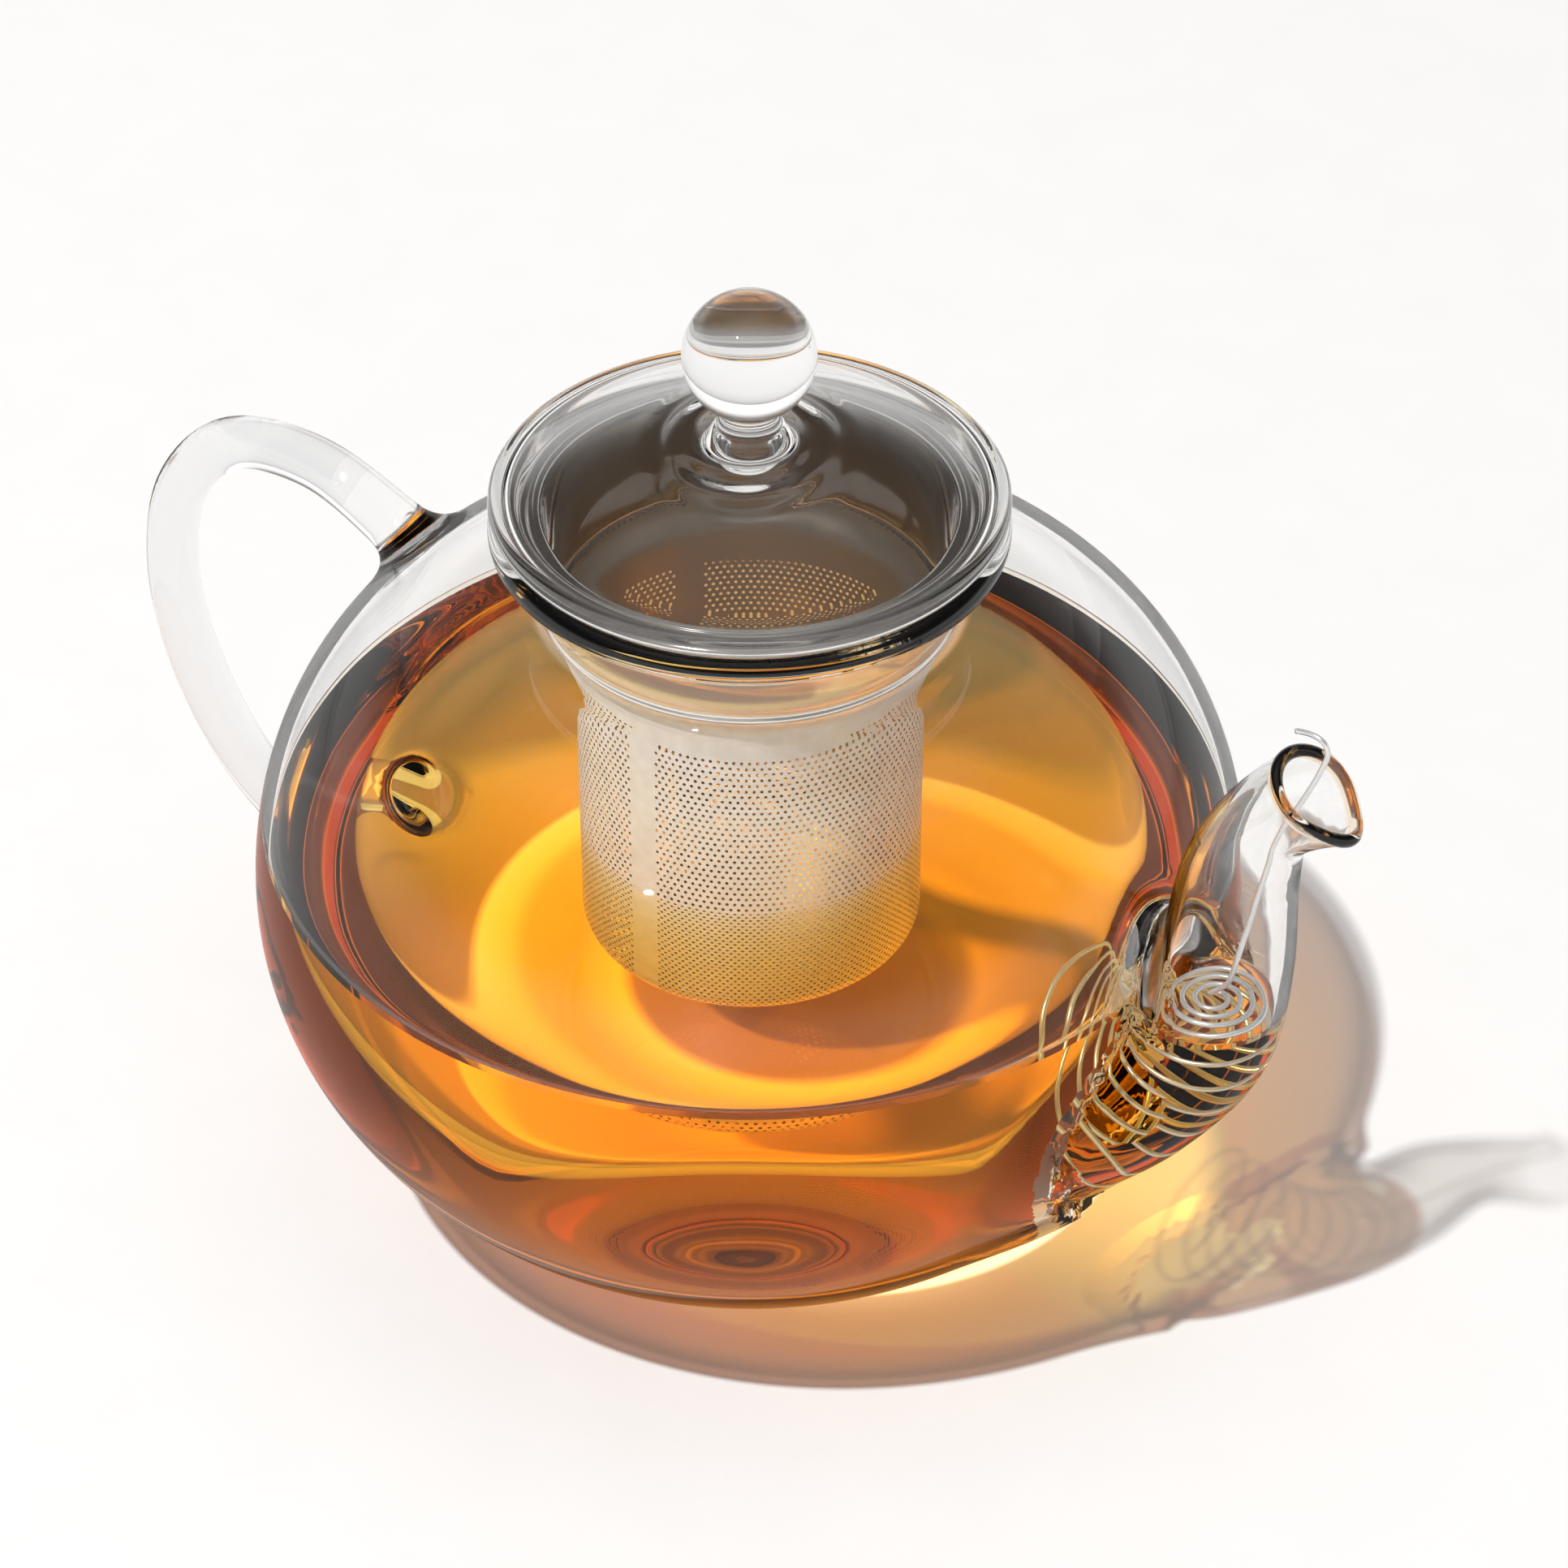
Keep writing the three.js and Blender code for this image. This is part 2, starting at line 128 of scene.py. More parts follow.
def lathe(profile, segments=TURNED_SEGMENTS):
    """Vertices and faces of a profile of (radius, height) turned about Z.
    It runs from axis to axis, or closes on itself."""
    profile = np.array(profile, float)
    ring = np.linalg.norm(profile[0] - profile[-1]) < 1e-6
    if ring:
        profile = profile[:-1]
    angle = np.linspace(0, 2 * math.pi, segments, endpoint=False)
    vertices, rows = [], []
    for r, z in profile:
        start = len(vertices)
        if r < 1e-6:
            vertices.append((0.0, 0.0, z))
            rows.append([start] * segments)
        else:
            vertices += [(r * math.cos(a), r * math.sin(a), z) for a in angle]
            rows.append(list(range(start, start + segments)))
    faces = []
    for i in range(len(profile) if ring else len(profile) - 1):
        a, b = rows[i], rows[(i + 1) % len(profile)]
        for j in range(segments):
            k = (j + 1) % segments
            face = [a[j], a[k], b[k], b[j]]
            faces.append([v for n, v in enumerate(face) if v != face[n - 1]])
    return np.array(vertices), faces


def tube(rings, loop=False):
    """Vertices and faces that skin rings of equal size. Unless they form a loop, fans close the ends."""
    rings = [np.array(r, float) for r in rings]
    n = len(rings[0])
    vertices = np.vstack(rings)
    faces = []
    for i in range(len(rings) if loop else len(rings) - 1):
        a, b = i * n, (i + 1) % len(rings) * n
        faces += [[a + j, a + (j + 1) % n, b + (j + 1) % n, b + j] for j in range(n)]
    if not loop:
        end = len(vertices) - n
        vertices = np.vstack([vertices, rings[0].mean(0), rings[-1].mean(0)])
        faces += [[len(vertices) - 2, (j + 1) % n, j] for j in range(n)]
        faces += [[len(vertices) - 1, end + j, end + (j + 1) % n] for j in range(n)]
    return vertices, faces


def wire(path, radius, sides=12, loop=False):
    """A round tube along a path in space, with frames that don't twist."""
    path = np.array(path, float)
    if loop:
        along = np.roll(path, -1, 0) - np.roll(path, 1, 0)
    else:
        along = np.gradient(path, axis=0)
    along /= np.linalg.norm(along, axis=1, keepdims=True)
    side = np.cross(along[0], (0.1, 0.2, 0.97))
    radius = np.broadcast_to(radius, len(path))
    angle = np.linspace(0, 2 * math.pi, sides, endpoint=False)
    rings = []
    for p, t, r in zip(path, along, radius):
        side = side - t * side.dot(t)
        side /= np.linalg.norm(side)
        up = np.cross(t, side)
        rings.append(p + r * (np.cos(angle)[:, None] * side + np.sin(angle)[:, None] * up))
    return tube(rings, loop=loop)


def mesh_piece(name, shape, material=None, scale=MM):
    vertices, faces = shape
    data = bpy.data.meshes.new(name)
    data.from_pydata((np.array(vertices) * scale).tolist(), [], faces)
    data.validate()
    made = bmesh.new()
    made.from_mesh(data)
    bmesh.ops.recalc_face_normals(made, faces=made.faces)
    made.to_mesh(data)
    made.free()
    data.shade_smooth()
    if material is not None:
        data.materials.append(material)
    piece = bpy.data.objects.new(name, data)
    bpy.context.scene.collection.objects.link(piece)
    return piece


def joined(piece, cutter, operation):
    """Joins, cuts or intersects piece with cutter, and removes the cutter."""
    step = piece.modifiers.new("boolean", "BOOLEAN")
    step.operation = operation
    step.solver = "MANIFOLD"
    step.object = cutter
    bpy.context.view_layer.update()
    result = bpy.data.meshes.new_from_object(
        piece.evaluated_get(bpy.context.evaluated_depsgraph_get())
    )
    piece.modifiers.clear()
    old, piece.data = piece.data, result
    bpy.data.meshes.remove(old)
    mesh = cutter.data
    bpy.data.objects.remove(cutter)
    bpy.data.meshes.remove(mesh)
    piece.data.shade_smooth()
    return piece


def profile_distance(profile):
    """For a turned profile whose left is inside: how far points are outside it, and which way that grows."""
    a, along = profile[:-1], np.diff(profile, axis=0)
    length2 = (along**2).sum(1)
    outward = np.gradient(profile, axis=0)[:, ::-1] * (1, -1)
    outward /= np.linalg.norm(outward, axis=1, keepdims=True)

    def distance(points):
        r = np.hypot(points[:, 0], points[:, 1])
        q = np.c_[r, points[:, 2]]
        value, slope = np.empty(len(q)), np.empty((len(q), 2))
        for s in range(0, len(q), 4000):
            d = q[s : s + 4000, None] - a
            t = np.clip((d * along).sum(2) / length2, 0, 1)
            gap = np.linalg.norm(d - t[..., None] * along, axis=2)
            k, row = gap.argmin(1), np.arange(len(gap))
            t = t[row, k][:, None]
            slope[s : s + 4000] = outward[k] * (1 - t) + outward[k + 1] * t
            turn = along[k, 0] * d[row, k, 1] - along[k, 1] * d[row, k, 0]
            value[s : s + 4000] = np.where(turn > 0, -1, 1) * gap[row, k]
        return value, np.c_[points[:, :2] / np.maximum(r, 1e-6)[:, None] * slope[:, :1], slope[:, 1]]

    return distance


def tube_distance(curve, grow=0.0):
    """The same for a tube in the plane of symmetry.
    A curve's row is x, z, radius in the plane, radius across it."""
    squeeze = curve[:, 2] / curve[:, 3]
    coarse = np.arange(0, len(curve), 8)

    def gap_to(p, k):
        across = p[:, 1:2] * squeeze[k]
        d = np.stack([p[:, :1] - curve[k, 0], across, p[:, 2:] - curve[k, 1]], axis=2)
        return np.linalg.norm(d, axis=2) - curve[k, 2] - grow, d

    def distance(points):
        value, slope = np.empty(len(points)), np.empty((len(points), 3))
        for s in range(0, len(points), 4000):
            p = points[s : s + 4000]
            row = np.arange(len(p))
            first = coarse[gap_to(p, coarse[None])[0].argmin(1)]
            k = np.clip(first[:, None] + np.arange(-8, 9), 0, len(curve) - 1)
            gap, d = gap_to(p, k)
            best = gap.argmin(1)
            value[s : s + 4000] = gap[row, best]
            d = d[row, best]
            d[:, 1] *= squeeze[k[row, best]]
            slope[s : s + 4000] = d / np.maximum(np.linalg.norm(d, axis=1), 1e-6)[:, None]
        return value, slope

    return distance


def drawn_to(first, second, width, points):
    """One step of each point towards the smooth union of two shapes."""
    (a, slope_a), (b, slope_b) = first(points), second(points)
    h = np.maximum(width - np.abs(a - b), 0) / width
    share = np.where(a < b, 1 - h / 2, h / 2)[:, None]
    value = np.minimum(a, b) - h * h * width / 4
    slope = share * slope_a + (1 - share) * slope_b
    return points - value[:, None] * slope / np.maximum((slope**2).sum(1), 0.05)[:, None]


def filleted(piece, first, second, width, low, high, edge=0.9, rounds=2):
    """Rounds the crease where two shapes of a piece meet, between the corners low and high:
    finer faces there, evened out and drawn onto the shapes' smooth union."""

    def near(made, reach):
        points = np.array([v.co for v in made.verts]) / MM
        chosen = ((points > low) & (points < high)).all(1)
        a, b = first(points[chosen])[0], second(points[chosen])[0]
        chosen[chosen] = (np.abs(np.minimum(a, b)) < 0.25) & (np.maximum(a, b) < reach)
        return points, chosen

    made = bmesh.new()
    made.from_mesh(piece.data)
    _, chosen = near(made, 1.2 * width)
    bmesh.ops.remove_doubles(
        made, verts=[v for v, c in zip(made.verts, chosen) if c], dist=0.2 * MM
    )
    for _ in range(rounds):
        _, chosen = near(made, 1.15 * width)
        long = [e for e in made.edges if e.calc_length() > edge * MM]
        edges = [e for e in long if chosen[e.verts[0].index] and chosen[e.verts[1].index]]
        bmesh.ops.subdivide_edges(made, edges=edges, cuts=1)
        bmesh.ops.triangulate(made, faces=[f for f in made.faces if len(f.verts) > 4])
        made.verts.index_update()
    points, chosen = near(made, 1.05 * width)
    ends = np.array([[v.index for v in e.verts] for e in made.edges])
    ends = ends[chosen[ends].any(1)]
    count = np.maximum(np.bincount(ends.ravel(), minlength=len(points)), 1)[:, None]
    for _ in range(10):
        around = np.zeros_like(points)
        np.add.at(around, ends[:, 0], points[ends[:, 1]])
        np.add.at(around, ends[:, 1], points[ends[:, 0]])
        moved = points[chosen] + 0.6 * (around / count - points)[chosen]
        points[chosen] = drawn_to(first, second, width, moved)
    for _ in range(2):
        points[chosen] = drawn_to(first, second, width, points[chosen])
    for v, p, c in zip(made.verts, points, chosen):
        if c:
            v.co = Vector(p * MM)
    bmesh.ops.recalc_face_normals(made, faces=made.faces)
    made.to_mesh(piece.data)
    made.free()
    piece.data.shade_smooth()
    return piece


# ---- glass pot: the body, spout and handle are one fused piece ----
def body_outline(spacing=1.6):
    r = np.linspace(0, BASE_R, 24)
    dimple = DIMPLE_RISE * np.maximum(1 - (r / DIMPLE_R) ** 2, 0) ** 2
    base = np.c_[r, BASE_RISE * (r / BASE_R) ** BASE_CURVE + dimple]
    belly = arc((0, BELLY_Z), (BELLY_R, BELLY_DROP), -61, 0, 60)
    shoulder = bezier(
        [(BELLY_R, BELLY_Z), (BELLY_R, 88), (60, 109.5), (NECK_JOIN_R, NECK_Z)], 60
    )
    neck = bezier([(NECK_JOIN_R, NECK_Z), (30.2, NECK_Z), (32, 117), (37, 124.4)], 24)
    fine = softened(np.vstack([base, belly, shoulder[1:], neck[1:]]), 0.4, 1.0)
    return resample(fine, spacing)


def vessel():
    """The blown body with its fire-polished rim, without the hole for the spout."""
    outer = body_outline()
    bead = arc((RIM_R - RIM_BEAD, RIM_TOP - RIM_BEAD), (RIM_BEAD, RIM_BEAD), -105, 165, 24)
    inner = offset(outer, WALL)[::-1]
    inner[-1] = (0, outer[0, 1] + WALL)
    return np.vstack([outer, bead, inner])


def cavity(grow, top):
    """The body's hollow, grown into its wall and closed off at a height."""
    inner = offset(body_outline(), WALL - grow)
    inner[0] = (0, DIMPLE_RISE + WALL - grow)
    side = inner[: np.argmax((inner[:, 1] > top) & (inner[:, 0] < 76))]
    return np.vstack([side, resample([side[-1], (0, side[-1][1])], 3)[1:]])


# Stations of the spout: x, z, outer radius in the plane of symmetry, outer radius across it.
SPOUT = spline(
    [
        (52, 43.5, 23, 27),
        (66.4, 50, 17.5, 26.5),
        (75.4, 55.3, 13.6, 23.5),
        (83, 64.5, 11.5, 15),
        (87.2, 81, 10.4, 10.8),
        (89.2, 99, 8.9, 8.9),
        (93.2, 110, 7.2, 7.2),
        (100.6, 119, 7.4, 7.4),
    ],
    480,
)


def spout_ring(at, wall, sides=72):
    """A ring of the spout at a share of its length, square to it.
    The last stretch turns to the mouth's tilt."""
    i = int(round(at * (len(SPOUT) - 1)))
    step = SPOUT[min(i + 4, len(SPOUT) - 1)] - SPOUT[max(i - 4, 0)]
    turned = max(0.0, (at - MOUTH_FROM) / MOUTH_SPAN)
    rise = math.atan2(step[1], step[0]) * (1 - turned) + math.radians(MOUTH_TILT) * turned
    pull = LIP_PULL * max(0.0, (at - LIP_FROM) / LIP_SPAN) ** 2
    x, z, radius, across = SPOUT[i]
    angle = np.linspace(0, 2 * math.pi, sides, endpoint=False)
    down = np.array((math.sin(rise), 0, -math.cos(rise)))
    reach = radius - wall + pull * np.maximum(0, np.cos(angle)) ** 4
    ring = np.array((x, 0, z)) + (reach * np.cos(angle))[:, None] * down
    ring[:, 1] += (across - wall) * np.sin(angle)
    return ring


def spout_tube(wall, beyond=0.0, end=1.0, steps=90):
    rings = [spout_ring(at, wall) for at in np.linspace(0, end, steps + 1)]
    if beyond:
        out = np.array((math.cos(math.radians(MOUTH_TILT)), 0, math.sin(math.radians(MOUTH_TILT))))
        rings.append(rings[-1] + beyond * out)
    return tube(rings)


def handle_curve():
    line = spline(
        [
            (-58, 92), (-69, 98.2), (-84.5, 103.8), (-101.5, 101), (-112.6, 88.5), (-115.9, 71),
            (-112.1, 53), (-102, 36.5), (-87, 26.6), (-70, 25), (-58, 25.5),
        ],
        320,
    )
    share = np.linspace(0, 1, len(line))
    radius = ROD_R + WELD_SWELL * np.exp(-((np.minimum(share, 1 - share) / WELD_SHARE) ** 2))
    return np.c_[line, radius, radius]


def handle_rod():
    curve = handle_curve()[::3]
    return wire(np.c_[curve[:, 0], 0 * curve[:, 0], curve[:, 1]], curve[:, 2], sides=40)


def glass_pot():
    outer, inner = body_outline(), offset(body_outline(), WALL)
    pot = mesh_piece("pot_glass", lathe(vessel()))
    trunk = mesh_piece("spout_solid", spout_tube(0))
    joined(trunk, mesh_piece("trim", lathe(cavity(1.0, BODY_CLEAR_Z))), "DIFFERENCE")
    joined(pot, trunk, "UNION")
    rod = mesh_piece("rod", handle_rod())
    joined(rod, mesh_piece("trim", lathe(cavity(1.0, BODY_CLEAR_Z))), "DIFFERENCE")
    joined(pot, rod, "UNION")
    joined(pot, mesh_piece("bore", spout_tube(SPOUT_WALL, 5)), "DIFFERENCE")
    mouth = spout_ring(1.0, SPOUT_WALL / 2, 96)
    joined(pot, mesh_piece("mouth", wire(mouth, 1.05, 16, loop=True)), "UNION")
    spout_side = (np.array((40, -45, 5)), np.array((110, 45, 110)))
    handle_side = (np.array((-100, -20, 5)), np.array((-45, 20, 110)))
    filleted(pot, profile_distance(outer), tube_distance(SPOUT), 9, *spout_side)
    filleted(pot, profile_distance(inner), tube_distance(SPOUT, -SPOUT_WALL), 6, *spout_side)
    filleted(pot, profile_distance(outer), tube_distance(handle_curve()), 5, *handle_side)
    mark_inside(pot, profile_distance(inner), tube_distance(SPOUT, -SPOUT_WALL))
    return pot


def mark_inside(piece, *hollows):
    """A vertex attribute that is 1 on the faces round the hollow, where the tea may touch the glass."""
    points = np.array([v.co for v in piece.data.vertices]) / MM
    gap = np.minimum(*(hollow(points)[0] for hollow in hollows))
    mark = piece.data.attributes.new("inside", "FLOAT", "POINT")
    mark.data.foreach_set("value", (gap < 0.8).astype(np.float32))


def tea_body():
    grown = WALL - TEA_BITE
    tea = mesh_piece("tea", lathe(cavity(TEA_BITE, 92)))
    joined(tea, mesh_piece("bore", spout_tube(SPOUT_WALL - TEA_BITE, end=0.62)), "UNION")
    filleted(
        tea,
        profile_distance(offset(body_outline(), grown)),
        tube_distance(SPOUT, TEA_BITE - SPOUT_WALL),
        6,
        np.array((40, -45, 5)),
        np.array((110, 45, 90)),
    )
    return joined(tea, mesh_piece("air", lathe(tea_lid())), "DIFFERENCE")


def tea_lid():
    """What is above the tea: its lower face is level, and rises a little where the tea climbs the glass."""
    inner = offset(body_outline(0.5), WALL)
    wall_r = inner[np.argmin(np.abs(inner[:, 1] - TEA_Z) + (inner[:, 0] < 40) * 99), 0]
    r = np.r_[0, np.linspace(wall_r - 6, wall_r + 1, 22)]
    climb = TEA_CLIMB * np.exp((r - wall_r) / TEA_CLIMB_REACH)
    face = np.c_[r, TEA_Z + np.minimum(climb, 1.5)]
    return np.vstack([face, [(160, TEA_Z), (160, 150), (0, 150)]])


# ---- glass lid: dome, knob and stub are one fused piece ----
BALL_R, BALL_Z = 10.25, 157.2
DOME_FOOT_R, DOME_FOOT_Z, DOME_TOP_Z = 37.6, 132.4, 143.4
LID_WALL, LID_BEAD, LID_BEAD_Z = 2.0, 1.6, 131.3
STUB_R, STUB_Z = 3.7, 138.2  # rounded end of the stub under the dome


def lid_outline():
    rise = DOME_TOP_Z - DOME_FOOT_Z
    dome_r = (DOME_FOOT_R**2 + rise**2) / (2 * rise)
    centre = (0, DOME_TOP_Z - dome_r)
    foot = math.degrees(math.atan2(dome_r - rise, DOME_FOOT_R))
    stub = arc((0, STUB_Z), (STUB_R, STUB_R), -90, 0, 14)
    under = arc(centre, (dome_r - LID_WALL,) * 2, 84.5, foot + 2.4, 40)
    bead = arc((RIM_R - LID_BEAD, LID_BEAD_Z), (LID_BEAD, LID_BEAD), -180, 80, 26)
    over = arc(centre, (dome_r,) * 2, foot + 0.6, 83.2, 50)
    neck = [(5.3, 144.6), (4.5, 146.2), (4.6, 147.6)]
    ball = arc((0, BALL_Z), (BALL_R, BALL_R), -59, 90, 60)
    fine = softened(np.vstack([stub, [(4.0, 140.2)], under, bead, over, neck, ball]), 0.25, 0.55)
    fine[0, 0] = fine[-1, 0] = 0
    return resample(fine, 0.6)


def glass_lid():
    vertices, faces = lathe(lid_outline(), 160)
    # The hot glass was pressed round the knob's stem, which leaves soft waves in the dome there.
    r = np.hypot(vertices[:, 0], vertices[:, 1])
    angle = np.arctan2(vertices[:, 1], vertices[:, 0])
    near = np.exp(-(((r - 11) / 4.5) ** 2)) * (vertices[:, 2] < 145)
    waves = np.sin(1.15 * r + 1.3 * np.sin(2 * angle + 0.7)) + 0.5 * np.sin(3 * angle + 0.9 * r)
    vertices[:, 2] += 0.16 * near * waves
    return mesh_piece("lid_glass", (vertices, faces))


# ---- infuser ----
STEEL_SHEET = 0.5


def collar_outline():
    """From the foot of the funnel, up over a double rolled lip, out over the flat flange to its edge."""
    foot = [(29.0, 110.7), (29.75, 110.8), (29.75, 111.5), (29.2, 111.8)]
    funnel = np.vstack([foot, bezier([(29.2, 112.4), (29.4, 115), (30.6, 122), (31.3, 127.9)], 30)])
    inner_bead = arc((32.2, 129.05), (0.75, 0.75), 200, 20, 16)
    outer_bead = arc((33.7, 129.25), (0.65, 0.65), 180, 10, 14)
    flat = [(34.6, 128.95), (36.4, 129.0), (37.45, 129.1), (37.7, 128.95)]
    return softened(np.vstack([funnel, inner_bead, outer_bead, flat]), 0.15, 0.22)


def infuser_collar():
    outer = collar_outline()
    underside = offset(outer, -STEEL_SHEET)[::-1]
    section = np.vstack([outer, underside, outer[:1]])
    return mesh_piece("collar_steel", lathe(resample(section, 0.4), 160))


HOLE_PITCH, HOLE_R = 1.2, 0.29
SEAMS = ((-93, 2.4), (146, 2.4))  # plain strips where the sheet is welded: azimuth and half width
CUP_CORNER, CUP_FLOOR_Z = 7, 35
PLAIN_TOP, PLAIN_FLOOR_R = 10.5, 14  # no holes in the sleeve's top stretch and the middle of its floor


def drum_line():
    """The sleeve's outer line from its flared top down, round the cup's corner, to its floor's middle."""
    flare = bezier([(28.3, 112.0), (28.3, 108.6), (DRUM_R, 108.6), (DRUM_R, 105.0)], 16)
    middle = (DRUM_R - CUP_CORNER, CUP_FLOOR_Z + CUP_CORNER)
    corner = arc(middle, (CUP_CORNER, CUP_CORNER), 0, -90, 24)
    return np.vstack([flare, corner, [(0.6, CUP_FLOOR_Z)]])


def infuser_drum():
    """A steel sleeve of hexagonal cells, each with a punched hole, in staggered rows."""
    line = drum_line()
    run = np.r_[0, np.cumsum(np.linalg.norm(np.diff(line, axis=0), axis=1))]
    columns = int(round(2 * math.pi * DRUM_R / HOLE_PITCH))
    row_step = HOLE_PITCH * math.sqrt(3) / 2
    rows = int(run[-1] / row_step)
    vertices, index, faces = [], {}, []

    def vertex(u, v):
        key = (round(u * 6) % (columns * 6), round(v * 24))
        if key not in index:
            index[key] = len(vertices)
            at = np.clip(v * row_step, 0, run[-1])
            angle = u * 2 * math.pi / columns
            r, z = np.interp(at, run, line[:, 0]), np.interp(at, run, line[:, 1])
            vertices.append((r * math.cos(angle), r * math.sin(angle), z))
        return index[key]

    # a cell's six corners, in columns and rows from its middle
    corners = [(0, -2 / 3), (0.5, -1 / 3), (0.5, 1 / 3), (0, 2 / 3), (-0.5, 1 / 3), (-0.5, -1 / 3)]
    for row in range(rows):
        for column in range(columns):
            u, v = column + 0.5 * (row % 2), row + 2 / 3
            ring = [vertex(u + a, v + b) for a, b in corners]
            azimuth = u * 360 / columns
            turns = [(abs((azimuth - seam + 180) % 360 - 180), width) for seam, width in SEAMS]
            off = [turn * math.pi / 180 * DRUM_R - width for turn, width in turns]
            at = v * row_step
            r = np.interp(at, run, line[:, 0])
            if row < PLAIN_TOP / row_step or min(off) < 0 or r < PLAIN_FLOOR_R:
                faces.append(ring)
                continue
            z = np.interp(at, run, line[:, 1])
            ahead = at + 0.2
            tilt = np.interp(ahead, run, line[:, 0]) - r, np.interp(ahead, run, line[:, 1]) - z
            tilt = np.array(tilt) / math.hypot(*tilt)
            angle = u * 2 * math.pi / columns
            out = np.array((math.cos(angle), math.sin(angle), 0))
            side, down = np.array((-out[1], out[0], 0)), out * tilt[0] + np.array((0, 0, tilt[1]))
            middle = r * out + np.array((0, 0, z))
            hole = []
            for a, b in corners:
                along = math.hypot(a, b * math.sqrt(3) / 2)
                hole.append(len(vertices))
                vertices.append(
                    middle + HOLE_R * (a * side * min(r / DRUM_R, 1) + b * math.sqrt(3) / 2 * down) / along
                )
            faces += [[ring[k - 1], ring[k], hole[k], hole[k - 1]] for k in range(6)]
    return mesh_piece("drum_steel", (np.array(vertices), faces))


# ---- spout strainer: one wire, coiled in the spout's foot ----
WIRE_R = 0.45
COIL_TURNS, COIL_FROM, COIL_TO = 8, 0.12, 0.5
COIL_CLEARANCE = 1.2  # between the wire and the bore
SPIRAL_TURNS, SPIRAL_END_R = 3.5, 1.4


def coil_point(share):
    along = COIL_FROM + (COIL_TO - COIL_FROM) * share
    i = int(round(along * (len(SPOUT) - 1)))
    step = SPOUT[min(i + 4, len(SPOUT) - 1)] - SPOUT[max(i - 4, 0)]
    lean = math.atan2(step[1], step[0])
    rise = lean + (math.pi / 2 - lean) * share**2
    radius = SPOUT[i, 2] - SPOUT_WALL - COIL_CLEARANCE
    angle = COIL_TURNS * share * 2 * math.pi
    down = np.array((math.sin(rise), 0, -math.cos(rise)))
    return (
        np.array((SPOUT[i, 0], 0, SPOUT[i, 1]))
        + radius * math.cos(angle) * down
        + np.array((0, radius * math.sin(angle), 0))
    )


def strainer_path():
    coil = [coil_point(share) for share in np.linspace(0, 1, COIL_TURNS * 56 + 1)]
    i = int(round(COIL_TO * (len(SPOUT) - 1)))
    head, head_r = SPOUT[i], SPOUT[i, 2] - SPOUT_WALL - COIL_CLEARANCE
    share = np.linspace(0, 1, 200)[1:]
    angle, radius = SPIRAL_TURNS * share * 2 * math.pi, head_r + (SPIRAL_END_R - head_r) * share
    spiral = np.c_[head[0] + radius * np.cos(angle), radius * np.sin(angle), 0 * share + head[1]]
    stem = [
        (88, 0.2, 77), (90.2, 0.8, 88), (92.6, 1.8, 100), (95.6, 2.6, 110), (99, 3.4, 118),
        (100.8, 3.9, 123.4), (99.8, 4, 125.4), (97.2, 4, 125.8), (94.9, 4, 125.2),
    ]
    path = np.vstack([coil, spiral, resample(stem, 1.0)])
    return softened(path, 0.45, 0.9)


def strainer_wire():
    return mesh_piece("strainer_wire", wire(strainer_path(), WIRE_R, 10))


# ---- materials ----
def principled(name, **settings):
    material = bpy.data.materials.new(name)
    material.use_nodes = True
    shader = material.node_tree.nodes["Principled BSDF"]
    for socket, value in settings.items():
        shader.inputs[socket.replace("_", " ")].default_value = value
    return material, material.node_tree.nodes, material.node_tree.links, shader


def noise(nodes, links, scale, detail=2.0):
    """A noise in the object's own space."""
    coordinates = nodes.new("ShaderNodeTexCoord")
    texture = nodes.new("ShaderNodeTexNoise")
    texture.inputs["Scale"].default_value = scale
    texture.inputs["Detail"].default_value = detail
    links.new(coordinates.outputs["Object"], texture.inputs["Vector"])
    return texture.outputs["Fac"]


def ramp(nodes, links, source, *stops):
    made = nodes.new("ShaderNodeValToRGB")
    while len(made.color_ramp.elements) < len(stops):
        made.color_ramp.elements.new(1)
    for element, (at, colour) in zip(made.color_ramp.elements, stops):
        element.position = at
        element.color = (*colour, 1)
    links.new(source, made.inputs[0])
    return made.outputs[0]


def bump(nodes, links, source, height, target):
    made = nodes.new("ShaderNodeBump")
    made.inputs["Distance"].default_value = height
    links.new(source, made.inputs["Height"])
    links.new(made.outputs[0], target.inputs["Normal"])


def let_light_by(nodes, links, shader, tint, shine=None):
    """Lamps and diffuse bounces pass straight through, dimmed by tint; the eye and mirrors see the glass.
    Shine is the share of its mirroring that the glass keeps, as behind a polariser."""
    clear = nodes.new("ShaderNodeBsdfTransparent")
    if isinstance(tint, tuple):
        clear.inputs[0].default_value = (*tint, 1)
    else:
        links.new(tint, clear.inputs[0])
    path = nodes.new("ShaderNodeLightPath")
    last = shader.outputs[0]
    if shine is not None:
        bent, share = nodes.new("ShaderNodeBsdfRefraction"), nodes.new("ShaderNodeMixShader")
        bent.inputs["Color"].default_value = (0.99, 0.99, 0.99, 1)
        bent.inputs["Roughness"].default_value = 0.0
        bent.inputs["IOR"].default_value = shader.inputs["IOR"].default_value
        for socket in ("IOR", "Normal"):
            if shader.inputs[socket].is_linked:
                links.new(shader.inputs[socket].links[0].from_socket, bent.inputs[socket])
        if isinstance(shine, float):
            share.inputs[0].default_value = shine
        else:
            links.new(shine, share.inputs[0])
        links.new(bent.outputs[0], share.inputs[1])
        links.new(last, share.inputs[2])
        last = share.outputs[0]
    for ray in ("Is Diffuse Ray", "Is Shadow Ray"):
        mix = nodes.new("ShaderNodeMixShader")
        links.new(path.outputs[ray], mix.inputs[0])
        links.new(last, mix.inputs[1])
        links.new(clear.outputs[0], mix.inputs[2])
        last = mix.outputs[0]
    links.new(last, nodes["Material Output"].inputs["Surface"])


